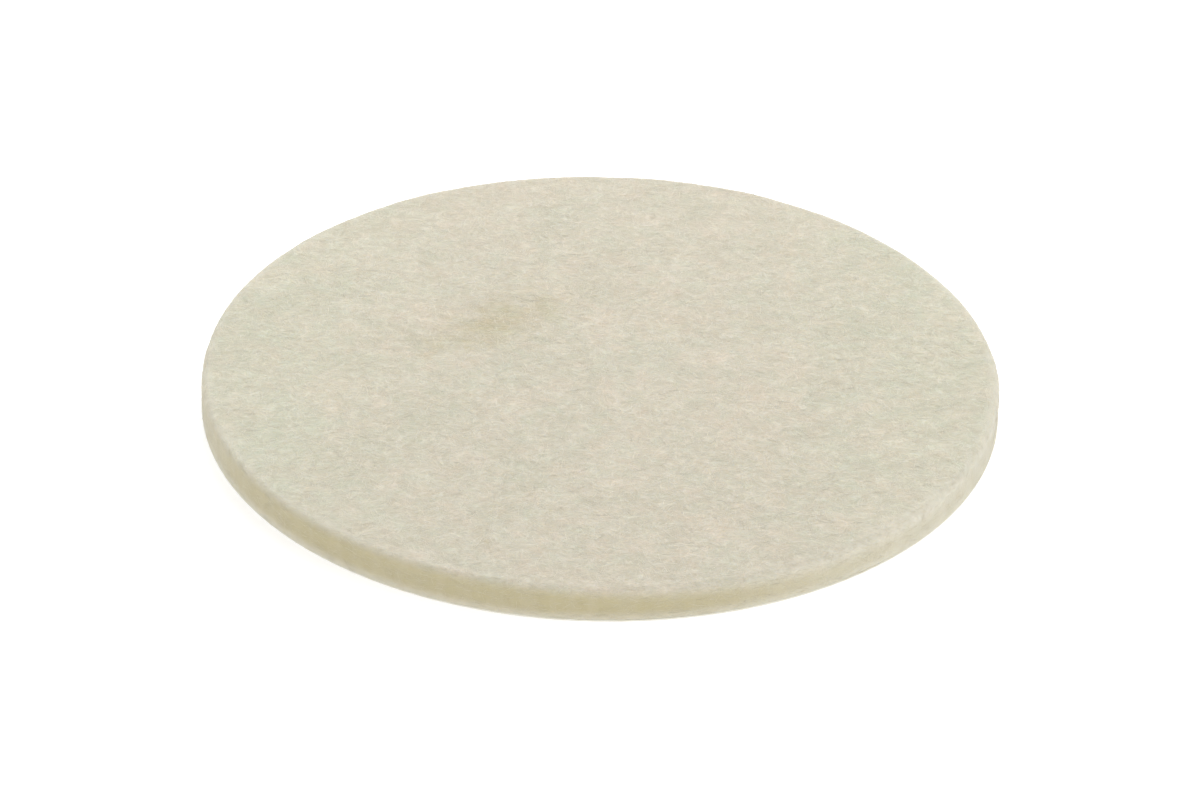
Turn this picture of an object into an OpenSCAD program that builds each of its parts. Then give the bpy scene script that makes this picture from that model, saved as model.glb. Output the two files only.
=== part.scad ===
// Felt polishing wheel for a flat lapidary machine, as it comes out of its packet:
// a punched disc of pressed wool felt with a double-coated adhesive film on its back,
// still lying on the paper liner that is peeled away before it is stuck to the machine.
// All the layers are punched through together, so they share one diameter.
// The origin is the centre of the liner's underside, and +Z points out of the polishing face.

/* [Wheel] */
// Diameter of the wheel, the same as the machine plate that it is stuck to
wheel_d = 152.4; // [75:0.1:305]

/* [Felt] */
// Thickness of the pressed felt
felt_t = 6.35; // [3:0.05:25.4]
// Radius of the soft shoulder round the polishing face
shoulder_r = 1.5; // [0.2:0.05:1.9]
// Radius of the tighter edge on the glued side
heel_r = 0.2; // [0.1:0.05:1]

/* [Adhesive film and liner] */
// Thickness of the adhesive coat that grips the felt
felt_adhesive_t = 0.06; // [0.03:0.005:0.2]
// Thickness of the clear film that carries the two adhesive coats
film_t = 0.025; // [0.012:0.001:0.2]
// Thickness of the adhesive coat that grips the machine plate
plate_adhesive_t = 0.06; // [0.03:0.005:0.2]
// Thickness of the peel-off paper liner
liner_t = 0.12; // [0.05:0.01:0.3]

/* [Hidden] */
$fn = 180;

wheel_r = wheel_d / 2;

// Height of each layer's underside, from the liner up
plate_adhesive_z = liner_t;
film_z = plate_adhesive_z + plate_adhesive_t;
felt_adhesive_z = film_z + film_t;
felt_z = felt_adhesive_z + felt_adhesive_t;

felt_colour = [0.84, 0.82, 0.74];
adhesive_colour = [0.88, 0.83, 0.66];
film_colour = [0.82, 0.87, 0.90];
liner_colour = [0.93, 0.91, 0.85];

// One flat layer of the punched stack
module layer(z, thickness) {
    translate([0, 0, z]) cylinder(r = wheel_r, h = thickness);
}

// Half of the felt's cross-section, with the wheel's axis at x = 0 and the glued side at y = 0
module felt_section() {
    square([wheel_r - heel_r, felt_t - shoulder_r]);
    square([wheel_r - shoulder_r, felt_t]);
    translate([0, heel_r]) square([wheel_r, felt_t - heel_r - shoulder_r]);
    translate([wheel_r - heel_r, heel_r]) circle(r = heel_r);
    translate([wheel_r - shoulder_r, felt_t - shoulder_r]) circle(r = shoulder_r);
}

// Siliconised paper that the wheel lies on until it is used
module release_liner() {
    color(liner_colour) layer(0, liner_t);
}

// Adhesive coat that the liner covers, for the machine's plate
module plate_side_adhesive() {
    color(adhesive_colour) layer(plate_adhesive_z, plate_adhesive_t);
}

// Clear film in the middle of the adhesive, which lets a worn wheel peel off in one piece
module carrier_film() {
    color(film_colour) layer(film_z, film_t);
}

// Adhesive coat that the felt is pressed onto
module felt_side_adhesive() {
    color(adhesive_colour) layer(felt_adhesive_z, felt_adhesive_t);
}

// The pressed felt itself: a flat face, an upright punched wall and rounded edges
module felt_disc() {
    color(felt_colour) translate([0, 0, felt_z]) rotate_extrude() felt_section();
}

release_liner();
plate_side_adhesive();
carrier_film();
felt_side_adhesive();
felt_disc();
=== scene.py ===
"""Builds the looks of a self-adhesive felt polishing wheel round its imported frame.

The wheel is a punched disc of pressed wool felt on a double-coated adhesive film, lying on its
release liner. The felt is spun from a half-section, given the relief of felted wool, and covered
with modelled fibres. The film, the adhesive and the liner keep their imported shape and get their
own finishes. All lengths are in metres.
"""

import logging
import math
from collections.abc import Callable, Iterator
from contextlib import contextmanager
from dataclasses import dataclass, field
from enum import Enum
from functools import partial, reduce

import bmesh
import bpy
import numpy as np
from mathutils import Euler, Matrix, Vector
from mathutils.bvhtree import BVHTree
from mathutils.kdtree import KDTree


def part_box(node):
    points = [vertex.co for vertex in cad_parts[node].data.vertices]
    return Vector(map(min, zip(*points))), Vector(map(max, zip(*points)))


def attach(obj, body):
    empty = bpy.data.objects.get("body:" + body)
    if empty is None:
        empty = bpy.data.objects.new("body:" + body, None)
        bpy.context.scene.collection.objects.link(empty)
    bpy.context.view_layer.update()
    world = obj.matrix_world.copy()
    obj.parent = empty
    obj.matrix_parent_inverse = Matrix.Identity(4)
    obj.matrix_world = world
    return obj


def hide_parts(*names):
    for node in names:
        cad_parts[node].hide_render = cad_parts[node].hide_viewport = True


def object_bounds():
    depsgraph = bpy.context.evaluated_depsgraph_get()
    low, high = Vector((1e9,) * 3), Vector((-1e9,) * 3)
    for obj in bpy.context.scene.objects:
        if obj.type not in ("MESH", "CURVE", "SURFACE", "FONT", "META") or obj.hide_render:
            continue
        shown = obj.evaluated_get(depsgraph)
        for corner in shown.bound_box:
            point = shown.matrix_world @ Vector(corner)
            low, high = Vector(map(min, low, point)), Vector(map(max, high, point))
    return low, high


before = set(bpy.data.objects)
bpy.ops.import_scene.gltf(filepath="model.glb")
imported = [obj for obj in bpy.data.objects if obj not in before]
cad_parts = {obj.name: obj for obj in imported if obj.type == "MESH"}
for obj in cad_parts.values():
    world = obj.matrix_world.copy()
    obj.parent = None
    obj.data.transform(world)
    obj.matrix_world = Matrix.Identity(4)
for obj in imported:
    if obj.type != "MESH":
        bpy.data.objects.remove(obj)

MM = 0.001
FULL_TURN = 2.0 * math.pi
HAIR = 1e-7

SHEET_MAP = "OFBake"
STRAND_TONE = "tone"
CELL_MARGIN = 0.1

Colour = tuple[float, float, float]
Size = tuple[float, float, float]
Range = tuple[float, float]
Array = np.ndarray
Draw = np.random.Generator
Piece = bpy.types.Object
Mesh = bpy.types.Mesh
Material = bpy.types.Material
Socket = bpy.types.NodeSocket
Source = Socket | float | Size

log = logging.getLogger("felt_wheel")

frame_low, frame_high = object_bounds()


class Body(Enum):
    """The rigid bodies that a piece can ride on."""

    LINER = "liner"
    WHEEL = "wheel"


class Slot(Enum):
    """The record's material slots."""

    FELT = "felt"
    ADHESIVE = "adhesive"
    FILM = "film"
    LINER = "liner_paper"


class Region(Enum):
    """The parts of the felt's surface that fibres can grow on."""

    FACE = "face"
    RIM = "rim"


class Pick(Enum):
    """What an edit-mode selection is made of."""

    POINTS = "VERT"
    EDGES = "EDGE"


# ---- Mesh helpers ----


def deselect_all() -> None:
    """Leaves no object selected, so that an operator acts only on what is picked next."""
    bpy.ops.object.select_all(action="DESELECT")


def make_active(piece: Piece) -> None:
    """Selects one object alone and makes it the active one."""
    deselect_all()
    piece.select_set(True)
    bpy.context.view_layer.objects.active = piece


@contextmanager
def editing(piece: Piece) -> Iterator[None]:
    """Holds a piece in edit mode for the length of a with block.

    Args:
        piece: The piece.
    """
    make_active(piece)
    bpy.ops.object.mode_set(mode="EDIT")
    yield
    bpy.ops.object.mode_set(mode="OBJECT")


def pick(piece: Piece, kind: Pick, test: Callable[[Vector], bool]) -> None:
    """Selects the points or edges of a piece in edit mode whose every point passes a test.

    Args:
        piece: The piece, already in edit mode.
        kind: Whether points or edges are selected.
        test: Takes a point's place and says whether it belongs.
    """
    bpy.ops.mesh.select_mode(type=kind.value)
    bpy.ops.mesh.select_all(action="DESELECT")
    mesh = bmesh.from_edit_mesh(piece.data)
    if kind is Pick.POINTS:
        for point in mesh.verts:
            point.select_set(test(point.co))
    else:
        for edge in mesh.edges:
            edge.select_set(all(test(point.co) for point in edge.verts))
    mesh.select_flush_mode()
    bmesh.update_edit_mesh(piece.data)


def close_to(a: float, b: float) -> bool:
    """Says whether two lengths are the same to within a hair."""
    return abs(a - b) < HAIR


def points_of(mesh: Mesh, what: str = "co") -> Array:
    """Gives the places of a mesh's points, or their normals, as rows of x, y and z.

    Args:
        mesh: The mesh.
        what: The points' property that is read.

    Returns:
        One row for each point.
    """
    rows = np.empty(len(mesh.vertices) * 3, np.float32)
    mesh.vertices.foreach_get(what, rows)
    return rows.reshape(-1, 3).astype(float)


def corners_of(mesh: Mesh) -> Array:
    """Gives the point that each corner of a mesh's faces stands on."""
    return np.array([loop.vertex_index for loop in mesh.loops])


def lay_flat(mesh: Mesh, sheet: Array) -> None:
    """Gives each corner of a mesh's faces its place on a flat sheet."""
    layer = mesh.uv_layers.new(name=SHEET_MAP)
    layer.uv.foreach_set("vector", sheet.astype(np.float32).ravel())


def normals_near(mesh: Mesh, places: list[Vector]) -> Array:
    """Gives the direction that a mesh faces at its point nearest to each place.

    Args:
        mesh: The mesh.
        places: The places, on the mesh or close to it.

    Returns:
        A direction for each place, as rows of x, y and z.
    """
    tree = KDTree(len(mesh.vertices))
    for point in mesh.vertices:
        tree.insert(point.co, point.index)
    tree.balance()
    return points_of(mesh, "normal")[[tree.find(place)[1] for place in places]]


def apply_modifiers(piece: Piece) -> None:
    """Applies every modifier of a piece in order."""
    make_active(piece)
    for modifier in list(piece.modifiers):
        bpy.ops.object.modifier_apply(modifier=modifier.name)


# ---- Material helpers ----


@dataclass(frozen=True)
class Pattern:
    """A noise pattern, eased from one level to another.

    Attributes:
        size: How wide its features are, or how wide along each axis.
        start, end: Where in the noise the easing starts and ends.
        low, high: The levels that it goes from and to.
        detail, rough: How many finer octaves the noise holds, and how strong they are.
        turn: The direction of its own x axis.
    """

    size: float | Size
    start: float = 0.0
    end: float = 1.0
    low: float = 0.0
    high: float = 1.0
    detail: float = 2.0
    rough: float = 0.5
    turn: float = 0.0


@dataclass
class Shading:
    """One material's node tree, with short ways to add and join its nodes.

    Attributes:
        name: The material's name.
        colour: The surface's colour so far, which paint and tint change.
        material: The material that is made.
        surface: Its Principled shader node.
        place: The place on the piece, in its own coordinates.
    """

    name: str
    colour: Source = (1.0, 1.0, 1.0)
    material: Material = field(init=False)
    surface: bpy.types.Node = field(init=False)
    place: Socket = field(init=False)

    def __post_init__(self) -> None:
        """Makes the material with an empty Principled shader."""
        self.material = bpy.data.materials.new(self.name)
        self.material.use_nodes = True
        self.surface = self.material.node_tree.nodes["Principled BSDF"]
        self.place = self.add("ShaderNodeTexCoord").outputs["Object"]

    def add(self, kind: str, *sources: Source, **settings: object) -> bpy.types.Node:
        """Adds a node.

        Args:
            kind: The node's type.
            *sources: What goes into its inputs, from the first on.
            **settings: Its properties.

        Returns:
            The node.
        """
        node = self.material.node_tree.nodes.new(kind)
        for name, value in settings.items():
            setattr(node, name, value)
        for source, target in zip(sources, node.inputs):
            self.feed(source, target)
        return node

    def feed(self, source: Source, target: Socket) -> None:
        """Links a socket to an input, or sets a plain value or colour on it.

        Args:
            source: The socket, number, vector or colour.
            target: The input.
        """
        if isinstance(source, Socket):
            self.material.node_tree.links.new(source, target)
        elif target.type == "RGBA":
            target.default_value = (*source, 1.0)
        else:
            target.default_value = source

    def set(self, **values: Source) -> None:
        """Feeds the Principled shader's inputs, with _ for each space in a name."""
        for name, value in values.items():
            self.feed(value, self.surface.inputs[name.replace("_", " ")])

    def maths(self, operation: str, a: Source, b: Source = 0.0) -> Socket:
        """Gives the result of one arithmetic step on two values."""
        return self.add("ShaderNodeMath", a, b, operation=operation).outputs[0]

    def product(self, *factors: Source) -> Socket:
        """Multiplies values together."""
        return reduce(partial(self.maths, "MULTIPLY"), factors)

    def vector(self, operation: str, a: Source, b: Source) -> Socket:
        """Gives the result of one arithmetic step on two vectors."""
        return self.add("ShaderNodeVectorMath", a, b, operation=operation).outputs["Vector"]

    def length(self, vector: Source) -> Socket:
        """Gives how long a vector is."""
        return self.add("ShaderNodeVectorMath", vector, operation="LENGTH").outputs["Value"]

    def parts(self, vector: Source) -> list[Socket]:
        """Gives a vector's x, y and z."""
        return list(self.add("ShaderNodeSeparateXYZ", vector).outputs)

    def ramp(
        self, value: Source, start: float, end: float, low: Source = 0.0, high: Source = 1.0
    ) -> Socket:
        """Eases a value from low to high as it goes from start to end."""
        inputs = (value, start, end, low, high)
        return self.add("ShaderNodeMapRange", *inputs, interpolation_type="SMOOTHSTEP").outputs[0]

    def counted(
        self, place: Source, size: Size, turn: float = 0.0, at: Size = (0.0, 0.0, 0.0)
    ) -> Socket:
        """Gives a place counted in steps of a size, from a point and turned about the upright axis."""
        inputs = (place, at, (0.0, 0.0, turn), size)
        return self.add("ShaderNodeMapping", *inputs, vector_type="TEXTURE").outputs[0]

    def noise(self, pattern: Pattern, place: Socket | None = None) -> Socket:
        """Gives a pattern's bare noise, which runs from 0 to 1.

        Args:
            pattern: The pattern.
            place: Where it is read, which is the place on the piece if nothing is given.

        Returns:
            The noise.
        """
        size = pattern.size if isinstance(pattern.size, tuple) else (pattern.size,) * 3
        steps = self.counted(self.place if place is None else place, size, pattern.turn)
        node = self.add("ShaderNodeTexNoise", steps)
        for name, value in (("Scale", 1.0), ("Detail", pattern.detail), ("Roughness", pattern.rough)):
            self.feed(value, node.inputs[name])
        return node.outputs["Fac"]

    def ease(self, noise: Socket, pattern: Pattern) -> Socket:
        """Gives a pattern's level from its bare noise."""
        return self.ramp(noise, pattern.start, pattern.end, pattern.low, pattern.high)

    def level(self, pattern: Pattern, place: Socket | None = None) -> Socket:
        """Gives a pattern's level at a place."""
        return self.ease(self.noise(pattern, place), pattern)

    def blend(self, share: Source, a: Source, b: Source, how: str = "MIX") -> Socket:
        """Mixes two colours.

        Args:
            share: How much of the second colour there is, from 0 to 1.
            a: The first colour.
            b: The second colour.
            how: The way in which the second is laid over the first.

        Returns:
            The mixed colour.
        """
        node = self.add("ShaderNodeMix", share, data_type="RGBA", blend_type=how)
        for source, target in zip((a, b), (socket for socket in node.inputs if socket.type == "RGBA")):
            self.feed(source, target)
        return next(socket for socket in node.outputs if socket.type == "RGBA")

    def paint(self, share: Source, colour: Colour) -> None:
        """Covers the colour so far with another, from not at all at 0 to fully at 1."""
        self.colour = self.blend(share, self.colour, colour)

    def tint(self, share: Source, tint: Colour) -> None:
        """Multiplies the colour so far by a tint, from not at all at 0 to fully at 1."""
        self.colour = self.blend(share, self.colour, tint, "MULTIPLY")

    def bump(self, height: Source, depth: float, strength: float) -> None:
        """Gives the surface a fine relief.

        Args:
            height: Its height, from 0 to 1.
            depth: How far it is from 0 to 1, in metres.
            strength: How much of it shows, from 0 to 1.
        """
        node = self.add("ShaderNodeBump", strength, depth)
        self.feed(height, node.inputs["Height"])
        self.set(Normal=node.outputs["Normal"])


# ---- Finishes ----


def combed(turn: float, length: float, width: float) -> Pattern:
    """Describes the streaks of fibre that are combed in one direction."""
    return Pattern((length, width, width), 0.48, 0.72, detail=1.0, turn=math.radians(turn))


@dataclass(frozen=True)
class Spot:
    """What the felt's finish reads of a place on the disc.

    Attributes:
        across: How far it is to the right of the middle, in radii.
        along: How far it is behind the middle, in radii.
        rise: How high it is over the glued side.
        drop: How far it is under the polishing face.
        inward: How far it is inside the rim.
    """

    across: Socket
    along: Socket
    rise: Socket
    drop: Socket
    inward: Socket


@dataclass(frozen=True)
class FeltFinish:
    """Undyed pressed wool: felted streaks over soft blotches, yellower where cut, painted light at the
    rim.

    Attributes:
        ground, fibre: The hollows between the tufts, and the tufts that stand out.
        warm, cool: The tints of the warmer and of the cooler blotches.
        faded: The tint of the two sides of the face, which are a little paler and greener.
        rim_fluff_and_highlight: The whiter rim band: fluffed fibres and a painted highlight.
        foot_fibres_and_bounce_light: The paler foot of the wall: paler fibres and painted floor bounce
            light.
        core: The inside of the felt, which shows halfway up the wall.
        stain, halo: The tints of the faint handled patch and of the ring that it has spread to.
        stain_at, stain_size, stain_turn: That patch's middle, its half-sizes and its direction.
        stain_fray: How ragged its edge is, in half-lengths.
        stain_edge, halo_edge: Where the patch and its ring start to thin and end, in half-lengths.
        curl, curl_reach: The slow pattern that bends the streaks, and how far along each axis.
        streaks, streak_share: The streaks in each direction, and their share of the fibres' cover.
        tufts: The wide clouds and the small tufts that make up the rest of it.
        blotches: The wide and the small blotches, warm over the middle of the noise, cool under it.
        specks: The odd speck in the stain's tint.
        faded_across: How far aside the face starts to fade and is faded, in radii.
        fray, rim_highlight_reach: How ragged the whiter rim band is, and how far past the rim it runs.
        highlight_across, highlight_share: Where aside the painted highlight grows, in radii, and how
            much.
        marks: The upright marks that the punch has left on the wall.
        wall_start: How far past the shoulder the wall's colour starts, on the left and on the right.
        wall_across: Where that changes from the one to the other, in radii.
        wall_fade, foot_fade: How it eases in under the shoulder, and out over the glued side into
            painted light.
        side_sheen_along, wall_light_share: Where the sides' painted sheen ends, and how much core shows.
        lit_right_across: How far to the right the painted light on the wall starts and is full, in
            radii.
        foot_height, foot_inset: How high and how far in the painted paler foot reaches.
        foot_share: How much of it shows.
    """

    ground: Colour = (0.468, 0.432, 0.337)
    fibre: Colour = (0.687, 0.645, 0.538)
    warm: Colour = (1.034, 0.989, 0.982)
    cool: Colour = (0.969, 1.012, 1.002)
    faded: Colour = (1.000, 1.036, 1.020)
    # painted highlight: this whiter rim colour stands partly for fluffed fibres and partly for light on
    # the shoulder
    rim_fluff_and_highlight: Colour = (0.660, 0.628, 0.535)
    # partly paler lowest fibres, partly painted bounce light from the floor at the foot of the wall
    foot_fibres_and_bounce_light: Colour = (0.660, 0.625, 0.500)
    core: Colour = (0.482, 0.429, 0.270)
    stain: Colour = (0.900, 0.880, 0.770)
    halo: Colour = (0.968, 0.960, 0.948)
    stain_at: Size = (-21.0 * MM, 14.0 * MM, 0.0)
    stain_size: Size = (20.0 * MM, 9.0 * MM, 40.0 * MM)
    stain_turn: float = math.radians(40.0)
    stain_fray: Pattern = Pattern(5.0 * MM, high=2.4, detail=4.0, rough=0.75)
    curl: Pattern = Pattern(6.0 * MM, detail=1.0)
    curl_reach: Size = (5.0 * MM, 5.0 * MM, 0.4 * MM)
    streaks: tuple[Pattern, ...] = (
        combed(4.0, 3.2 * MM, 0.30 * MM),
        combed(36.0, 2.6 * MM, 0.24 * MM),
        combed(88.0, 3.0 * MM, 0.34 * MM),
        combed(140.0, 2.4 * MM, 0.22 * MM),
        combed(168.0, 3.4 * MM, 0.28 * MM),
    )
    streak_share: float = 0.3
    tufts: tuple[Pattern, ...] = (
        Pattern(11.0 * MM, 0.30, 0.74, high=0.27, detail=5.0, rough=0.85),
        Pattern((1.8 * MM, 1.2 * MM, 1.2 * MM), 0.38, 0.80, high=0.45, rough=0.9),
    )
    blotches: tuple[Pattern, ...] = (
        Pattern(22.0 * MM, 0.50, 0.66, high=0.35, detail=3.0, rough=0.7),
        Pattern(4.5 * MM, 0.50, 0.66, high=0.7, detail=3.0, rough=0.7),
    )
    specks: Pattern = Pattern(3.5 * MM, 0.70, 0.80, high=0.8, rough=0.6)
    faded_across: Range = (0.2625, 0.9449)
    halo_edge: Range = (1.2, 3.4)
    stain_edge: Range = (1.0, 2.3)
    fray: Pattern = Pattern(3.0 * MM, high=4.0 * MM, detail=3.0, rough=0.7)
    # painted highlight: how far the whiter rim band reaches, and how it grows towards the left and right
    # sides
    rim_highlight_reach: Range = (-1.0 * MM, 2.4 * MM)
    highlight_across: Range = (0.2, 0.75)
    highlight_share: Range = (0.15, 0.65)
    marks: Pattern = Pattern((1.6 * MM, 1.6 * MM, 9.0 * MM), 0.3, 0.7, 0.85, 1.0)
    wall_start: Range = (-1.5 * MM, 0.6 * MM)
    wall_across: Range = (-0.5, 0.6)
    wall_fade: float = 3.2 * MM
    # painted bounce light: the core's colour fades out over the glued side
    foot_fade: Range = (-0.6 * MM, 2.4 * MM)
    # painted sheen and painted light: these wash the core's colour out at the wall's sides and towards
    # the right
    side_sheen_along: Range = (0.0, 0.75)
    wall_light_share: Range = (0.3, 1.0)
    lit_right_across: Range = (0.1, 0.8)
    foot_height: float = 2.0 * MM
    foot_inset: Range = (1.0 * MM, 0.4 * MM)
    foot_share: float = 0.4

    def build(self, radius: float, low: float, high: float) -> Material:
        """Makes the material.

        Args:
            radius: The disc's radius.
            low: The height of the glued side.
            high: The height of the polishing face.

        Returns:
            The felt's material.
        """
        shading = Shading("pressed_felt")
        curled = self._curled(shading)
        crests = [shading.level(streak, curled) for streak in self.streaks]
        cover = shading.product(reduce(partial(shading.maths, "MAXIMUM"), crests), self.streak_share)
        for tuft in self.tufts:
            cover = shading.maths("ADD", cover, shading.level(tuft, curled))
        shading.colour = shading.blend(cover, self.ground, self.fibre)
        x, y, z = shading.parts(shading.place)
        flat = shading.vector("MULTIPLY", shading.place, (1.0, 1.0, 0.0))
        spot = Spot(
            across=shading.maths("DIVIDE", x, radius),
            along=shading.maths("DIVIDE", y, radius),
            rise=shading.maths("SUBTRACT", z, low),
            drop=shading.maths("SUBTRACT", high, z),
            inward=shading.maths("SUBTRACT", radius, shading.length(flat)),
        )
        self._blotch(shading, spot)
        self._stain(shading)
        self._paint_rim_fluff_and_highlight(shading, spot)
        self._show_core(shading, spot)
        shading.set(Base_Color=shading.colour, Roughness=0.95, Specular_IOR_Level=0.15)
        shading.set(Sheen_Weight=0.06, Sheen_Roughness=0.6)
        shading.set(Subsurface_Weight=0.25, Subsurface_Scale=1.2 * MM, Subsurface_Radius=(1.0, 0.8, 0.5))
        shading.bump(cover, depth=0.10 * MM, strength=0.7)
        return shading.material

    def _curled(self, shading: Shading) -> Socket:
        """Bends the place that the fibres' patterns are read at, so that no streak runs straight.

        Args:
            shading: The material that is being made.

        Returns:
            The bent place.
        """
        slow = shading.noise(self.curl).node.outputs["Color"]
        shift = shading.vector("SUBTRACT", slow, (0.5, 0.5, 0.5))
        shift = shading.vector("MULTIPLY", shift, self.curl_reach)
        return shading.vector("ADD", shading.place, shift)

    def _blotch(self, shading: Shading, spot: Spot) -> None:
        """Adds warm and cool blotches, as in wool of mixed fleeces, faded sides and a few specks.

        Args:
            shading: The material that is being made.
            spot: The place on the disc.
        """
        for blotch in self.blotches:
            noise = shading.noise(blotch)
            for tint, end in ((self.warm, blotch.end), (self.cool, 2.0 * blotch.start - blotch.end)):
                shading.tint(shading.ramp(noise, blotch.start, end, 0.0, blotch.high), tint)
        aside = shading.maths("ABSOLUTE", spot.across)
        shading.tint(shading.ramp(aside, *self.faded_across), self.faded)
        shading.tint(shading.level(self.specks), self.stain)

    def _stain(self, shading: Shading) -> None:
        """Adds the faint, ragged patch where the face has been handled.

        Args:
            shading: The material that is being made.
        """
        patch = shading.counted(shading.place, self.stain_size, self.stain_turn, self.stain_at)
        ragged = shading.product(shading.noise(self.stain_fray), self.stain_fray.high)
        reach = shading.maths("ADD", shading.length(patch), ragged)
        shading.tint(shading.ramp(reach, *self.halo_edge, 1.0, 0.0), self.halo)
        shading.tint(shading.ramp(reach, *self.stain_edge, 1.0, 0.0), self.stain)

    def _paint_rim_fluff_and_highlight(self, shading: Shading, spot: Spot) -> None:
        """Whitens the edge in patches: fluffed fibres and a painted highlight on the shoulder.

        Args:
            shading: The material that is being made.
            spot: The place on the disc.
        """
        ragged = shading.product(shading.noise(self.fray), self.fray.high)
        near_rim = shading.ramp(shading.maths("SUBTRACT", ragged, spot.inward), *self.rim_highlight_reach)
        # painted highlight: the band is stronger to the left and right, where light catches the shoulder
        toward_sides = shading.ramp(shading.maths("ABSOLUTE", spot.across), *self.highlight_across, *self.highlight_share)
        shading.paint(shading.product(near_rim, toward_sides), self.rim_fluff_and_highlight)

    def _show_core(self, shading: Shading, spot: Spot) -> None:
        """Shows the felt's yellower inside round the punched wall, with painted light on its sides and
        foot.

        Args:
            shading: The material that is being made.
            spot: The place on the disc.
        """
        start = shading.ramp(spot.across, *self.wall_across, *self.wall_start)
        past = shading.maths("SUBTRACT", shading.maths("SUBTRACT", spot.drop, spot.inward), start)
        share = shading.product(
            shading.ramp(past, 0.0, self.wall_fade),
            # painted bounce light: the core's colour fades out towards the glued side
            shading.ramp(spot.rise, *self.foot_fade),
            # painted sheen: less of the core's colour at the wall's left and right sides, which are seen
            # edge-on
            shading.ramp(shading.maths("ABSOLUTE", spot.along), *self.side_sheen_along, *self.wall_light_share),
            # painted light: less of the core's colour towards the right, where the light falls
            shading.ramp(spot.across, *self.lit_right_across, *reversed(self.wall_light_share)),
            shading.level(self.marks),
        )
        shading.paint(share, self.core)
        # painted bounce light: the foot of the wall is painted paler, partly for paler lowest fibres
        near_foot = shading.ramp(spot.rise, self.foot_height, 0.0, 0.0, self.foot_share)
        outside = shading.ramp(spot.inward, *self.foot_inset)
        shading.paint(shading.product(near_foot, outside), self.foot_fibres_and_bounce_light)


@dataclass(frozen=True)
class FibreFinish:
    """Single wool fibres, each with a tone of its own.

    Attributes:
        name: The material's name.
        dark, light: The colours of the duller and of the whiter fibres.
        scales: The fine scales along a fibre, and how far they shift its tone.
    """

    name: str = "wool_fibre"
    dark: Colour = (0.555, 0.516, 0.413)
    light: Colour = (0.780, 0.738, 0.612)
    scales: Pattern = Pattern(0.3 * MM, 0.3, 0.7, -0.12, 0.12)

    def build(self) -> Material:
        """Makes the material, which reads each strand's tone from its mesh.

        Returns:
            The fibres' material.
        """
        shading = Shading(self.name)
        tone = shading.add("ShaderNodeAttribute", attribute_name=STRAND_TONE).outputs["Fac"]
        scales = shading.noise(self.scales)
        share = shading.maths("ADD", tone, shading.ease(scales, self.scales))
        shading.set(Base_Color=shading.blend(share, self.dark, self.light))
        shading.set(Roughness=0.75, Specular_IOR_Level=0.25, Sheen_Weight=0.15, Sheen_Roughness=0.5)
        shading.bump(scales, depth=0.004 * MM, strength=0.5)
        return shading.material


@dataclass(frozen=True)
class CoatFinish:
    """A thin clear coat or film with the fine ripple of the roller that made it.

    Attributes:
        name: The material's name.
        thin, thick: Its colours where it is thinnest and where it is thickest.
        ripple: The pattern of the ripple.
        roughness: How rough it is where it is thinnest and where it is thickest.
        depth, strength: How deep the ripple is, and how much of it shows.
    """

    name: str
    thin: Colour
    thick: Colour
    ripple: Pattern
    roughness: Range
    depth: float
    strength: float

    def build(self) -> Material:
        """Makes the material.

        Returns:
            The coat's material.
        """
        shading = Shading(self.name)
        ripple = shading.noise(self.ripple)
        share = shading.ease(ripple, self.ripple)
        roughness = shading.ramp(share, 0.0, 1.0, *self.roughness)
        shading.set(Base_Color=shading.blend(share, self.thin, self.thick), Roughness=roughness)
        shading.bump(ripple, self.depth, self.strength)
        return shading.material


@dataclass(frozen=True)
class LinerFinish:
    """Dense release paper: silicone-coated and satin on top, plain paper below.

    Attributes:
        bright, cloudy: The paper's colours between its denser clouds of pulp and in them.
        fleck: The colour of the odd dark fibre in the pulp.
        clouds: The clouds of pulp.
        flecks: The dark fibres.
        cockle: The slow waves that damp air gives to paper.
        plain, satin: The roughness of the side without a coat, and of the coated side.
        grain: How far the clouds shift the roughness, where they are thinnest and densest.
        pulp: How high the clouds stand, as a share of the waves.
    """

    bright: Colour = (0.80, 0.775, 0.70)
    cloudy: Colour = (0.72, 0.69, 0.60)
    fleck: Colour = (0.50, 0.44, 0.33)
    clouds: Pattern = Pattern(2.2 * MM, 0.3, 0.7, detail=4.0, rough=0.6)
    flecks: Pattern = Pattern((0.25 * MM, 1.4 * MM, 1.0 * MM), 0.74, 0.80, high=0.35, turn=0.6)
    cockle: Pattern = Pattern(22.0 * MM, high=0.8, detail=1.0)
    plain: float = 0.85
    satin: float = 0.42
    grain: Range = (-0.05, 0.06)
    pulp: float = 0.05

    def build(self) -> Material:
        """Makes the material.

        Returns:
            The liner's material.
        """
        shading = Shading("release_paper")
        clouds = shading.noise(self.clouds)
        shading.colour = shading.blend(shading.ease(clouds, self.clouds), self.bright, self.cloudy)
        shading.paint(shading.level(self.flecks), self.fleck)
        _, _, upward = shading.parts(shading.add("ShaderNodeTexCoord").outputs["Normal"])
        gloss = shading.ramp(upward, start=-0.5, end=0.5, low=self.plain, high=self.satin)
        grain = shading.ramp(clouds, self.clouds.start, self.clouds.end, *self.grain)
        shading.set(Base_Color=shading.colour, Roughness=shading.maths("ADD", gloss, grain))
        cockle = shading.product(shading.noise(self.cockle), self.cockle.high)
        height = shading.maths("ADD", cockle, shading.product(clouds, self.pulp))
        shading.bump(height, depth=0.6 * MM, strength=0.5)
        return shading.material


# ---- The felt ----


@dataclass(frozen=True)
class Relief:
    """One scale of unevenness that is pressed into the felt.

    Attributes:
        name: Its name.
        size: How wide its bumps are.
        height: From its lowest to its highest point.
        region: The part of the surface that it is on.
        depth: How many finer octaves it holds.
    """

    name: str
    size: float
    height: float
    region: Region
    depth: int = 2


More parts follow.
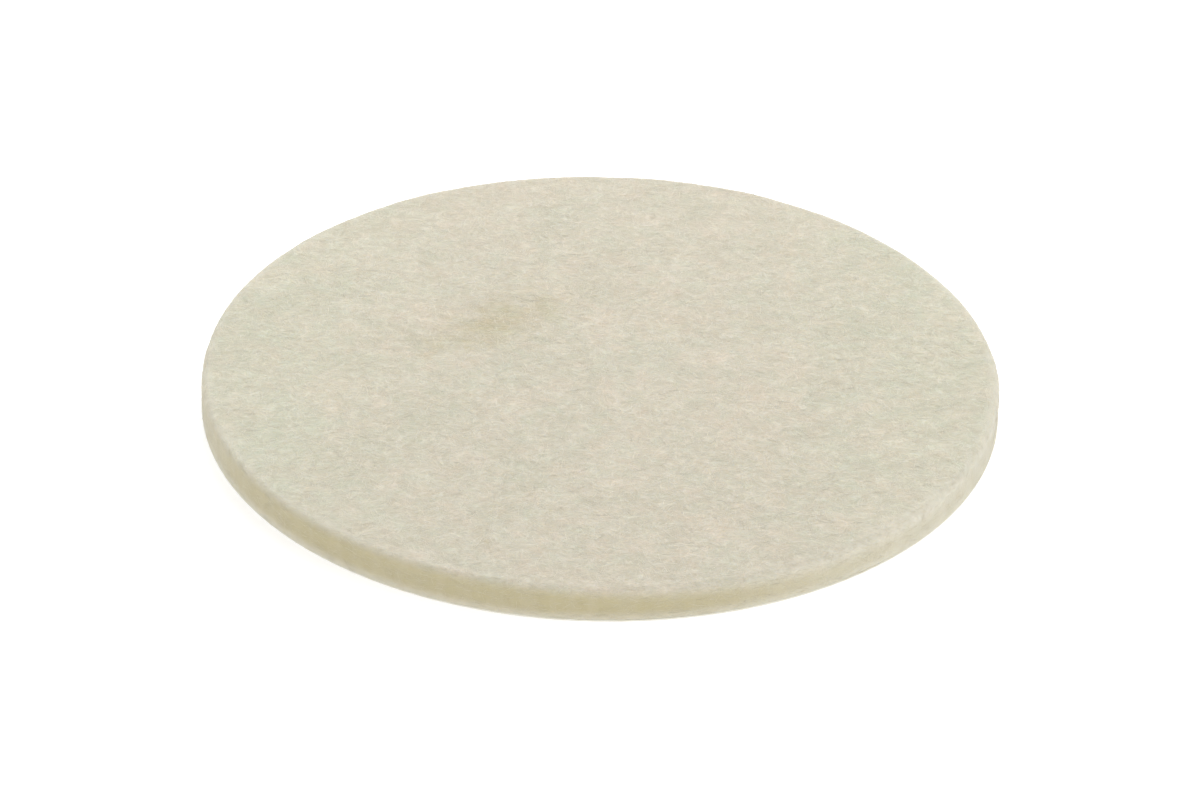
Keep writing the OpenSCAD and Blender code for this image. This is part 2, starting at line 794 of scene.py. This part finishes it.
@dataclass
class FeltDisc:
    """The punched disc of pressed felt.

    Attributes:
        radius: Its radius.
        low, high: The heights of its glued side and of its polishing face.
        shoulder, heel: The radii of the edges round the face and round the glued side.
        finish: What it is dressed in.
        face_rings, wall_rings, under_rings: How many rings each of these is divided into.
        corner_steps: How many steps round off each corner.
        turns: How many steps the section is spun in.
        rim_band: How far in from the wall the relief of the rim fades into that of the face.
        foot_rise: The share of the wall's height over which the relief of the rim grows.
        foot_relief: The share of it that is left at the foot.
        reliefs: The unevenness of its surface, at each scale.
    """

    radius: float
    low: float
    high: float
    shoulder: float = 1.5 * MM
    heel: float = 0.18 * MM
    finish: FeltFinish = FeltFinish()
    face_rings: int = 108
    wall_rings: int = 12
    under_rings: int = 5
    corner_steps: int = 7
    turns: int = 512
    rim_band: float = 2.0 * MM
    foot_rise: float = 0.15
    foot_relief: float = 0.25
    reliefs: tuple[Relief, ...] = (
        Relief("sag", 45.0 * MM, 0.10 * MM, Region.FACE, 1),
        Relief("press", 7.0 * MM, 0.12 * MM, Region.FACE, 1),
        Relief("tufts", 2.6 * MM, 0.12 * MM, Region.FACE, 0),
        Relief("outline", 34.0 * MM, 0.75 * MM, Region.RIM, 1),
        Relief("punch", 9.0 * MM, 0.35 * MM, Region.RIM),
        Relief("fray", 2.2 * MM, 0.16 * MM, Region.RIM),
    )

    def build(self) -> Piece:
        """Models the disc.

        Returns:
            The finished piece, in place.
        """
        piece = self._section()
        self._spin(piece)
        self._group(piece)
        self._press(piece)
        self._lay_out(piece)
        make_active(piece)
        bpy.ops.object.shade_smooth()
        piece.data.materials.append(self.finish.build(self.radius, self.low, self.high))
        return piece

    def _section(self) -> Piece:
        """Models the half-section: a flat plate with two rounded corners, kept as an outline."""
        deselect_all()
        middle = (self.low + self.high) / 2.0
        bpy.ops.mesh.primitive_plane_add(
            size=1.0, location=(self.radius / 2.0, 0.0, middle), rotation=(math.pi / 2.0, 0.0, 0.0)
        )
        piece = bpy.context.object
        piece.name = piece.data.name = "felt_body"
        piece.scale = (self.radius, self.high - self.low, 1.0)
        bpy.ops.object.transform_apply(location=True, rotation=True, scale=True)
        with editing(piece):
            for height, bend in ((self.high, self.shoulder), (self.low, self.heel)):
                pick(piece, Pick.POINTS, lambda p, z=height: self._outer(p) and close_to(p.z, z))
                bpy.ops.mesh.bevel(offset=bend, segments=self.corner_steps, affect="VERTICES")
            bpy.ops.mesh.select_all(action="SELECT")
            bpy.ops.mesh.delete(type="ONLY_FACE")
            pick(piece, Pick.EDGES, lambda p: close_to(p.x, 0.0))
            bpy.ops.mesh.delete(type="EDGE")
            pick(piece, Pick.EDGES, lambda p: close_to(p.z, self.high))
            bpy.ops.mesh.subdivide(number_cuts=self.face_rings - 1)
            pick(piece, Pick.EDGES, lambda p: close_to(p.z, self.low))
            bpy.ops.mesh.subdivide(number_cuts=self.under_rings - 1)
            pick(piece, Pick.EDGES, lambda p: self._outer(p))
            bpy.ops.mesh.subdivide(number_cuts=self.wall_rings - 1)
        return piece

    def _outer(self, point: Vector) -> bool:
        """Says whether a point of the section lies on the wall."""
        return close_to(point.x, self.radius)

    def _spin(self, piece: Piece) -> None:
        """Spins the section into a closed disc.

        Args:
            piece: The section.
        """
        with editing(piece):
            bpy.ops.mesh.select_mode(type="VERT")
            bpy.ops.mesh.select_all(action="SELECT")
            bpy.ops.mesh.spin(
                steps=self.turns, angle=FULL_TURN, center=(0.0, 0.0, 0.0), axis=(0.0, 0.0, 1.0)
            )
            bpy.ops.mesh.select_all(action="SELECT")
            bpy.ops.mesh.remove_doubles(threshold=HAIR)
            bpy.ops.mesh.normals_make_consistent(inside=False)

    def _group(self, piece: Piece) -> None:
        """Marks how far each point belongs to the face and to the rim.

        Args:
            piece: The disc.
        """
        places = points_of(piece.data)
        reach = np.hypot(places[:, 0], places[:, 1])
        rise = (places[:, 2] - self.low) / (self.high - self.low)
        inward = np.clip((self.radius - reach) / self.rim_band, 0.0, 1.0)
        shares = {
            Region.FACE: np.where(rise > 0.5, inward, 0.0),
            Region.RIM: (1.0 - inward) * np.clip(rise / self.foot_rise, self.foot_relief, 1.0),
        }
        for region, share in shares.items():
            group = piece.vertex_groups.new(name=region.value)
            for level in np.unique(share.round(3)):
                if level > 0.0:
                    group.add(np.flatnonzero(share.round(3) == level).tolist(), float(level), "REPLACE")

    def _press(self, piece: Piece) -> None:
        """Presses each scale of unevenness into the surface.

        Args:
            piece: The disc.
        """
        for relief in self.reliefs:
            pattern = bpy.data.textures.new(relief.name, "CLOUDS")
            pattern.noise_scale = relief.size
            pattern.noise_depth = relief.depth
            modifier = piece.modifiers.new(relief.name, "DISPLACE")
            modifier.texture = pattern
            modifier.texture_coords = "LOCAL"
            modifier.strength = relief.height
            modifier.mid_level = 0.5
            modifier.vertex_group = relief.region.value
        apply_modifiers(piece)

    def _lay_out(self, piece: Piece) -> None:
        """Lays the surface out flat, with most of the sheet given to the face.

        The face and the glued side are seen from above and from below. The wall is unrolled into
        strips, which are stacked beside the face.

        Args:
            piece: The disc.
        """
        mesh = piece.data
        sizes = [face.loop_total for face in mesh.polygons]
        middle = np.repeat([face.center for face in mesh.polygons], sizes, axis=0)
        place = points_of(mesh)[corners_of(mesh)]
        lay_flat(mesh, LayOut(self.radius, self.low, self.high).place(place, middle))


@dataclass
class LayOut:
    """Where each part of the disc lies on its flat sheet, which is one unit wide.

    Attributes:
        radius: The disc's radius.
        low, high: The heights of its glued side and of its polishing face.
        face_width, under_width: The shares of the sheet that the two round parts are wide.
        strips: How many strips the wall is cut into.
        strip_length: How long a strip is, as a share of the face's width.
        gap: The bare gap between the parts.
        rim_band: How far in from the wall a face still belongs to a strip.
        bulge: How far past the radius the wall may bulge.
        margin: The room over and under the wall on a strip, for its rounded edges.
    """

    radius: float
    low: float
    high: float
    face_width: float = 0.86
    under_width: float = 0.10
    strips: int = 4
    strip_length: float = 0.98
    gap: float = 0.006
    rim_band: float = 1.6 * MM
    bulge: float = 0.6 * MM
    margin: float = 2.2 * MM

    def place(self, point: Array, middle: Array) -> Array:
        """Places every corner of every face.

        Args:
            point: Where each corner is.
            middle: The middle of the face that each corner belongs to.

        Returns:
            The corners' places on the sheet.
        """
        reach = np.hypot(middle[:, 0], middle[:, 1])
        inner = reach < self.radius - self.rim_band
        upper = middle[:, 2] > (self.low + self.high) / 2.0
        sheet = self._strip(point, middle)
        face = self._round(point, self.face_width, self.gap + self.face_width / 2.0)
        under = self._round(point, self.under_width, 1.0 - self.gap - self.under_width / 2.0)
        sheet[inner & upper] = face[inner & upper]
        sheet[inner & ~upper] = under[inner & ~upper]
        return sheet

    def _round(self, point: Array, width: float, centre: float) -> Array:
        """Places a round part, seen along the axis, at a centre on the sheet's diagonal."""
        return point[:, :2] / (2.0 * self.radius) * width + centre

    def _strip(self, point: Array, middle: Array) -> Array:
        """Places the wall and its rounded edges in strips along two sides of the sheet.

        Args:
            point: Where each corner is.
            middle: The middle of the face that each corner belongs to.

        Returns:
            The corners' places on the sheet.
        """
        share = self._share(point)
        of_face = self._share(middle)
        share = np.where(share < of_face - 0.5, share + 1.0, share)
        share = np.where(share > of_face + 0.5, share - 1.0, share)
        strip = np.minimum(of_face * self.strips, self.strips - 1).astype(int)
        along = share * self.strips - strip
        reach = np.hypot(point[:, 0], point[:, 1])
        inset = self.radius + self.bulge - reach
        rising = point[:, 2] - self.low
        upper = middle[:, 2] > (self.low + self.high) / 2.0
        across = np.where(upper, rising + inset, rising - inset) + self.margin
        across = across / (self.high - self.low + 2.0 * self.margin)
        room = (1.0 - self.face_width - 3.0 * self.gap) / 2.0 - self.gap
        long = self.face_width * self.strip_length
        start = self.face_width + 2.0 * self.gap + (strip // 2) * (room + self.gap)
        flat = np.stack([self.gap + along * long, start + across * room], 1)
        return np.where((strip % 2 == 1)[:, None], flat[:, ::-1], flat)

    @staticmethod
    def _share(point: Array) -> Array:
        """Gives how far round the disc each point is, as a share of a full turn."""
        return np.arctan2(point[:, 1], point[:, 0]) / FULL_TURN % 1.0


# ---- The fibres ----


@dataclass
class StrandModel:
    """The one strand that every fibre is a copy of: a thin three-sided rod in a few lengths.

    Attributes:
        lengths: How many lengths it is divided into.
        sides: How many sides it has.
    """

    lengths: int = 4
    sides: int = 3

    def build(self) -> tuple[Array, list[tuple[int, ...]]]:
        """Models the strand, reads its shape and takes it away.

        Returns:
            Its points, along z from 0 to 1 with a radius of 1, and its faces.
        """
        deselect_all()
        bpy.ops.mesh.primitive_cylinder_add(
            vertices=self.sides, radius=1.0, depth=1.0, location=(0.0, 0.0, 0.5)
        )
        strand = bpy.context.object
        bpy.ops.object.transform_apply(location=True, rotation=True, scale=True)
        with editing(strand):
            bpy.ops.mesh.select_mode(type="EDGE")
            bpy.ops.mesh.select_all(action="DESELECT")
            mesh = bmesh.from_edit_mesh(strand.data)
            for edge in mesh.edges:
                edge.select_set(abs(edge.verts[0].co.z - edge.verts[1].co.z) > 0.5)
            mesh.select_flush_mode()
            bmesh.update_edit_mesh(strand.data)
            bpy.ops.mesh.subdivide(number_cuts=self.lengths - 1)
        points = points_of(strand.data)
        faces = [tuple(face.vertices) for face in strand.data.polygons]
        bpy.data.objects.remove(strand)
        return points, faces


@dataclass
class FibreCoat:
    """A coat of wool fibres that lie on one part of the felt.

    Attributes:
        name: The piece's name.
        region: Where the fibres lie.
        count: How many there are.
        seed: What their places are drawn from.
        length, thickness: The shortest and longest fibre, and the thinnest and thickest.
        bend: The tightest radius that a fibre curls to.
        lift, dip: How high a fibre's middle stands and how deep its ends go, in thicknesses.
        flatness: How tall a fibre is, as a share of its width.
        nap: How much it takes the light as the felt under it does, from 0 to 1.
        stray, loose: How high a loose end stands, and the share of the fibres that have one.
        level: How flat the fibres of the rim lie, from 0, any way, to 1, level.
        lay: How much more the fibres run across the felt than along it.
        inset, overlap: How far inside the rim the face's fibres end and the rim's begin.
        foot: How high over the glued side they end.
        clearance: How high over the glued side every part of a fibre's spine stays.
        taper: How much thinner a fibre is at its ends.
        onset: How late a fibre starts to dip and thin, as the power of the way to its end.
        tones: The middle and the spread of the fibres' tones, from 0, dull, to 1, white.
    """

    name: str
    region: Region
    count: int
    seed: int
    length: Range
    thickness: Range
    bend: float = 4.0 * MM
    lift: float = 0.15
    dip: float = 0.9
    flatness: float = 0.7
    nap: float = 0.75
    stray: float = 0.25 * MM
    loose: float = 0.08
    level: float = 0.0
    lay: float = 1.3
    inset: float = 0.5 * MM
    overlap: float = 1.2 * MM
    foot: float = 0.3 * MM
    clearance: float = 0.1 * MM
    taper: float = 0.55
    onset: int = 3
    tones: Range = (0.50, 0.35)

    def build(self, felt: Piece, disc: FeltDisc, model: StrandModel, finish: Material) -> Piece:
        """Lays the coat on the felt.

        Args:
            felt: The finished felt.
            disc: Its sizes.
            model: The strand to copy.
            finish: The fibres' material.

        Returns:
            The finished piece, in place.
        """
        draw = np.random.default_rng(self.seed)
        strand, faces = model.build()
        steps = np.unique(strand[:, 2].round(4))
        thick = draw.uniform(*self.thickness, (self.count, 1))
        root, normal = self._roots(disc, draw)
        spine, normals = self._spines(felt, draw, root, normal, steps, thick)
        spine[..., 2] = np.maximum(spine[..., 2], disc.low + self.clearance)
        points, facing = self._copies(strand, steps, spine, normals, thick)
        mesh = bpy.data.meshes.new(self.name)
        count = len(strand)
        table = [
            tuple(corner + number * count for corner in face)
            for number in range(self.count)
            for face in faces
        ]
        mesh.from_pydata(points.reshape(-1, 3), [], table)
        piece = bpy.data.objects.new(self.name, mesh)
        bpy.context.scene.collection.objects.link(piece)
        self._tones(mesh, draw, count)
        self._lay_out(mesh, strand, faces)
        make_active(piece)
        bpy.ops.object.shade_smooth()
        mesh.normals_split_custom_set_from_vertices(facing.reshape(-1, 3))
        mesh.materials.append(finish)
        return piece

    def _roots(self, disc: FeltDisc, draw: Draw) -> tuple[Array, Array]:
        """Draws where the middle of each fibre lies, evenly over the region.

        Args:
            disc: The felt's sizes.
            draw: Where random numbers come from.

        Returns:
            A place for each fibre, and the direction that the felt faces there.
        """
        turn = draw.uniform(0.0, FULL_TURN, self.count)
        if self.region is Region.FACE:
            tilt = np.zeros(self.count)
            reach = (disc.radius - self.inset) * np.sqrt(draw.random(self.count))
            height = np.full(self.count, disc.high)
        else:
            first = math.asin(1.0 - self.overlap / disc.shoulder)
            arc = (math.pi / 2.0 - first) * disc.shoulder
            wall = disc.high - disc.shoulder - disc.low - self.foot
            down = draw.uniform(0.0, arc + wall, self.count)
            tilt = first + np.minimum(down, arc) / disc.shoulder
            reach = disc.radius - disc.shoulder * (1.0 - np.sin(tilt))
            height = disc.high - disc.shoulder * (1.0 - np.cos(tilt)) - np.maximum(down - arc, 0.0)
        outward = np.stack([np.cos(turn), np.sin(turn)], 1)
        place = np.column_stack([outward * reach[:, None], height])
        return place, np.column_stack([outward * np.sin(tilt)[:, None], np.cos(tilt)])

    def _spines(
        self, felt: Piece, draw: Draw, root: Array, normal: Array, steps: Array, thick: Array
    ) -> tuple[Array, Array]:
        """Curls each fibre over the surface and drapes its spine on it.

        Args:
            felt: The finished felt.
            draw: Where random numbers come from.
            root: Where the middle of each fibre lies.
            normal: The surface's direction there.
            steps: How far along the strand each of its rings is.
            thick: How thick each fibre is.

        Returns:
            The points of each spine, and the surface's direction at each.
        """
        heading = draw.normal(size=(self.count, 3))
        heading[:, 0] *= self.lay
        heading[:, 2] *= 1.0 - self.level
        heading -= (heading * normal).sum(1, keepdims=True) * normal
        heading /= np.linalg.norm(heading, axis=1, keepdims=True)
        side = np.cross(normal, heading)
        length = draw.uniform(*self.length, self.count)
        curl = draw.uniform(-1.0, 1.0, self.count) / self.bend
        along = (steps[None, :] - 0.5) * length[:, None]
        angle = curl[:, None] * along
        ahead = np.sinc(angle / math.pi) * along
        aside = along * np.sinc(angle / FULL_TURN) * np.sin(angle / 2.0)
        flat = root[:, None] + heading[:, None] * ahead[..., None] + side[:, None] * aside[..., None]
        nearest = BVHTree.FromObject(felt, bpy.context.evaluated_depsgraph_get()).find_nearest
        found = [nearest(Vector(point))[0] for point in flat.reshape(-1, 3)]
        spine = np.array(found).reshape(flat.shape)
        normals = normals_near(felt.data, found).reshape(flat.shape)
        ends = np.abs(2.0 * steps - 1.0) ** self.onset
        rise = thick * (self.lift * draw.uniform(-1.0, 1.0, (self.count, 1)) - self.dip * ends)
        free = draw.random((self.count, 1)) < self.loose
        tip = self.stray * draw.random((self.count, 1)) ** 2 * steps**2
        rise = np.where(free, tip, rise)
        return spine + normals * rise[..., None], normals

    def _copies(
        self, strand: Array, steps: Array, spine: Array, normals: Array, thick: Array
    ) -> tuple[Array, Array]:
        """Wraps a copy of the strand round each spine.

        Args:
            strand: The strand's points.
            steps: How far along it each of its rings is.
            spine: The points of each spine.
            normals: The direction that the felt faces at each.
            thick: How thick each fibre is.

        Returns:
            The points of every copy, and the direction in which each takes the light.
        """
        ahead = np.gradient(spine, axis=1)
        ahead /= np.linalg.norm(ahead, axis=2, keepdims=True)
        side = np.cross(normals, ahead)
        side /= np.linalg.norm(side, axis=2, keepdims=True)
        up = np.cross(ahead, side)
        ring = np.searchsorted(steps, strand[:, 2].round(4))
        ends = np.abs(2.0 * strand[:, 2] - 1.0) ** self.onset
        taper = (1.0 - self.taper * ends)[None, :, None]
        tall = up[:, ring] * (strand[None, :, 1, None] * self.flatness)
        offset = side[:, ring] * strand[None, :, 0, None] + tall
        facing = normals[:, ring] * self.nap + offset * (1.0 - self.nap)
        facing /= np.linalg.norm(facing, axis=2, keepdims=True)
        return spine[:, ring] + offset * thick[..., None] / 2.0 * taper, facing

    def _tones(self, mesh: Mesh, draw: Draw, count: int) -> None:
        """Gives each fibre a tone of its own, from 0, dull, to 1, white.

        Args:
            mesh: The coat's mesh.
            draw: Where random numbers come from.
            count: How many points a strand has.
        """
        tone = np.clip(draw.normal(*self.tones, self.count), 0.0, 1.0)
        layer = mesh.attributes.new(STRAND_TONE, "FLOAT", "POINT")
        layer.data.foreach_set("value", np.repeat(tone, count).astype(np.float32))

    def _lay_out(self, mesh: Mesh, strand: Array, faces: list[tuple[int, ...]]) -> None:
        """Gives each fibre a cell of its own on the flat sheet, with its length across it.

        Args:
            mesh: The coat's mesh.
            strand: The strand's points.
            faces: Its faces.
        """
        cells = math.ceil(math.sqrt(self.count))
        turn = np.arctan2(strand[:, 1], strand[:, 0]) / FULL_TURN + 0.5
        flat = CELL_MARGIN + (1.0 - 2.0 * CELL_MARGIN) * np.stack([strand[:, 2], turn], 1)
        corners = np.concatenate([np.array(face) for face in faces])
        number = np.arange(self.count)
        cell = np.stack([number % cells, number // cells], 1)
        sheet = (cell[:, None] + flat[corners][None]) / cells
        lay_flat(mesh, sheet)


# ---- The backing ----


@dataclass
class Backing:
    """The film with its two adhesive coats and the liner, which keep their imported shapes.

    Attributes:
        adhesive: The finish of both coats.
        film: The finish of the film between them.
        liner: The finish of the release liner.
    """

    adhesive: CoatFinish = CoatFinish(
        name="adhesive_coat",
        thin=(0.80, 0.78, 0.68),
        thick=(0.70, 0.66, 0.50),
        ripple=Pattern((1.5 * MM, 12.0 * MM, 1.5 * MM), 0.35, 0.7, detail=3.0),
        roughness=(0.2, 0.4),
        depth=0.02 * MM,
        strength=0.6,
    )
    film: CoatFinish = CoatFinish(
        name="polyester_film",
        thin=(0.82, 0.84, 0.84),
        thick=(0.70, 0.74, 0.76),
        ripple=Pattern((4.0 * MM, 30.0 * MM, 4.0 * MM), 0.3, 0.7),
        roughness=(0.08, 0.18),
        depth=0.005 * MM,
        strength=0.4,
    )
    liner: LinerFinish = LinerFinish()

    def dress(self) -> list[Piece]:
        """Gives each packed layer its finish and returns the layers."""
        adhesive = self.adhesive.build()
        finishes = {
            "felt_side_adhesive": adhesive,
            "carrier_film": self.film.build(),
            "plate_side_adhesive": adhesive,
            "release_liner": self.liner.build(),
        }
        layers = []
        for name, finish in finishes.items():
            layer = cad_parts[name]
            layer.data.materials.clear()
            layer.data.materials.append(finish)
            layers.append(layer)
        return layers


# ---- The studio ----


@dataclass(frozen=True)
class Softbox:
    """A square lamp that looks at the wheel.

    Attributes:
        name: Its name.
        azimuth: Which way it stands from the wheel, from +X towards +Y.
        elevation: How high it stands over the floor.
        distance: How far off it is.
        width: How wide it is.
        power: Its power in watts.
    """

    name: str
    azimuth: float
    elevation: float
    distance: float
    width: float
    power: float

    def build(self) -> None:
        """Sets up the lamp."""
        lamp = bpy.data.lights.new(self.name, "AREA")
        lamp.size = self.width
        lamp.energy = self.power
        away = Vector((1.0, 0.0, 0.0))
        away.rotate(Euler((0.0, -self.elevation, self.azimuth)))
        stand = bpy.data.objects.new(self.name, lamp)
        bpy.context.scene.collection.objects.link(stand)
        stand.location = away * self.distance
        stand.rotation_euler = away.to_track_quat("Z", "Y").to_euler()


@dataclass
class Studio:
    """A plain pale floor, a white room round it and soft lamps.

    Attributes:
        floor_radius: How far the floor reaches.
        floor_colour: Its colour.
        floor_glow: How brightly it is lit from below, as a white light table is.
        drop: How far under the liner it lies, so that the two never share a plane.
        room_light, room_seen: How bright the room is as a light, and as the camera sees it.
        lamps: The soft lamps.
    """

    floor_radius: float = 4.0
    floor_colour: Colour = (0.94, 0.94, 0.94)
    floor_glow: float = 0.22
    drop: float = 0.05 * MM
    room_light: float = 0.75
    room_seen: float = 1.0
    lamps: tuple[Softbox, ...] = (
        Softbox("right_softbox", math.radians(-18.0), math.radians(34.0), 2.4, 1.5, 13.0),
        Softbox("left_softbox", math.radians(172.0), math.radians(26.0), 2.4, 1.5, 3.0),
        Softbox("front_softbox", math.radians(-92.0), math.radians(45.0), 2.4, 1.5, 11.0),
        Softbox("back_softbox", math.radians(92.0), math.radians(32.0), 0.7, 0.5, 2.4),
    )

    def build(self) -> None:
        """Sets up the floor, the room and the lamps."""
        self._floor()
        self._room()
        for lamp in self.lamps:
            lamp.build()
        bpy.context.scene.view_settings.view_transform = "Standard"

    def _floor(self) -> None:
        """Lays the floor just under the liner."""
        deselect_all()
        bpy.ops.mesh.primitive_circle_add(
            vertices=128, radius=self.floor_radius, fill_type="NGON", location=(0.0, 0.0, -self.drop)
        )
        floor = bpy.context.object
        floor.name = "floor"
        shading = Shading("pale_floor")
        shading.set(Base_Color=self.floor_colour, Roughness=0.9, Specular_IOR_Level=0.1)
        shading.set(Emission_Color=self.floor_colour, Emission_Strength=self.floor_glow)
        floor.data.materials.append(shading.material)

    def _room(self) -> None:
        """Makes the white room, which can look brighter than it lights."""
        room = bpy.data.worlds.new("white_room")
        bpy.context.scene.world = room
        room.use_nodes = True
        tree = room.node_tree
        light = tree.nodes["Background"]
        light.inputs["Color"].default_value = (1.0, 1.0, 1.0, 1.0)
        path = tree.nodes.new("ShaderNodeLightPath")
        strength = tree.nodes.new("ShaderNodeMix")
        strength.data_type = "FLOAT"
        tree.links.new(path.outputs["Is Camera Ray"], strength.inputs[0])
        strength.inputs[2].default_value = self.room_light
        strength.inputs[3].default_value = self.room_seen
        tree.links.new(strength.outputs[0], light.inputs["Strength"])


@dataclass
class Viewpoint:
    """The camera, a long lens that looks down at the front of the wheel.

    Attributes:
        centre: The middle of the felt.
        radius: The wheel's radius.
        elevation: How steeply the camera looks down.
        roll: How far it is turned about its own axis, so that the wheel's right side drops.
        distance: How far off it is, in wheel radii.
        lower: How far it stands below the line through the wheel's middle, in radii.
        lens: Its focal length in millimetres.
        nearest, farthest: How near and how far it sees.
    """

    centre: Vector
    radius: float
    elevation: float = math.radians(31.77)
    roll: float = math.radians(1.16)
    distance: float = 9.0
    lower: float = 0.0573
    lens: float = 107.3
    nearest: float = 0.01
    farthest: float = 50.0

    def build(self) -> None:
        """Sets up the camera and makes it the scene's own."""
        back = Vector((0.0, -math.cos(self.elevation), math.sin(self.elevation)))
        right = Vector((1.0, 0.0, 0.0))
        up = back.cross(right)
        turned_right = right * math.cos(self.roll) + up * math.sin(self.roll)
        turned_up = back.cross(turned_right)
        camera = bpy.data.objects.new("camera", bpy.data.cameras.new("camera"))
        bpy.context.scene.collection.objects.link(camera)
        place = self.centre + (back * self.distance - up * self.lower) * self.radius
        turn = Matrix((turned_right, turned_up, back)).transposed()
        camera.matrix_world = Matrix.Translation(place) @ turn.to_4x4()
        camera.data.lens = self.lens
        camera.data.clip_start = self.nearest
        camera.data.clip_end = self.farthest
        bpy.context.scene.camera = camera


# ---- Putting it together ----


def report(piece: Piece) -> None:
    """Reports a piece and how many faces it has."""
    log.info("%s: %d faces", piece.name, len(piece.data.polygons))


def build_fibres(felt: Piece, disc: FeltDisc) -> list[Piece]:
    """Covers the felt with its coats of fibres.

    Args:
        felt: The finished felt.
        disc: Its sizes.

    Returns:
        The coats, one piece each.
    """
    on_face = FibreFinish().build()
    on_rim = FibreFinish("rim_fibre", (0.510, 0.465, 0.335), (0.670, 0.625, 0.480)).build()
    model = StrandModel()
    long, thin = (1.4 * MM, 4.2 * MM), (0.045 * MM, 0.085 * MM)
    coats = (
        FibreCoat("face_fibres_under", Region.FACE, 7400, 11, long, thin),
        FibreCoat("face_fibres", Region.FACE, 7400, 23, long, thin, lift=0.3),
        FibreCoat("face_fibres_over", Region.FACE, 7400, 31, long, thin, lift=0.45),
        FibreCoat(
            "rim_fibres", Region.RIM, 5200, 37, (1.2 * MM, 3.6 * MM), thin, stray=0.35 * MM, level=0.8
        ),
        FibreCoat(
            "stray_fibres", Region.RIM, 420, 53, (1.5 * MM, 4.0 * MM), (0.03 * MM, 0.045 * MM),
            bend=1.2 * MM, stray=1.1 * MM, loose=1.0, level=0.4,
        ),
    )
    finishes = {Region.FACE: on_face, Region.RIM: on_rim}
    return [coat.build(felt, disc, model, finishes[coat.region]) for coat in coats]


def main() -> None:
    """Builds every piece of the wheel and the studio round it."""
    logging.basicConfig(level=logging.INFO, format="%(message)s")
    low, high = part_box("felt_disc")
    radius = (high.x - low.x) / 2.0
    Studio().build()
    Viewpoint((frame_low + frame_high) / 2.0, radius).build()
    for layer in Backing().dress():
        report(layer)
    disc = FeltDisc(radius, low.z, high.z)
    felt = disc.build()
    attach(felt, Body.WHEEL.value)
    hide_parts("felt_disc")
    report(felt)
    for coat in build_fibres(felt, disc):
        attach(coat, Body.WHEEL.value)
        report(coat)


if __name__ == "__main__":
    main()
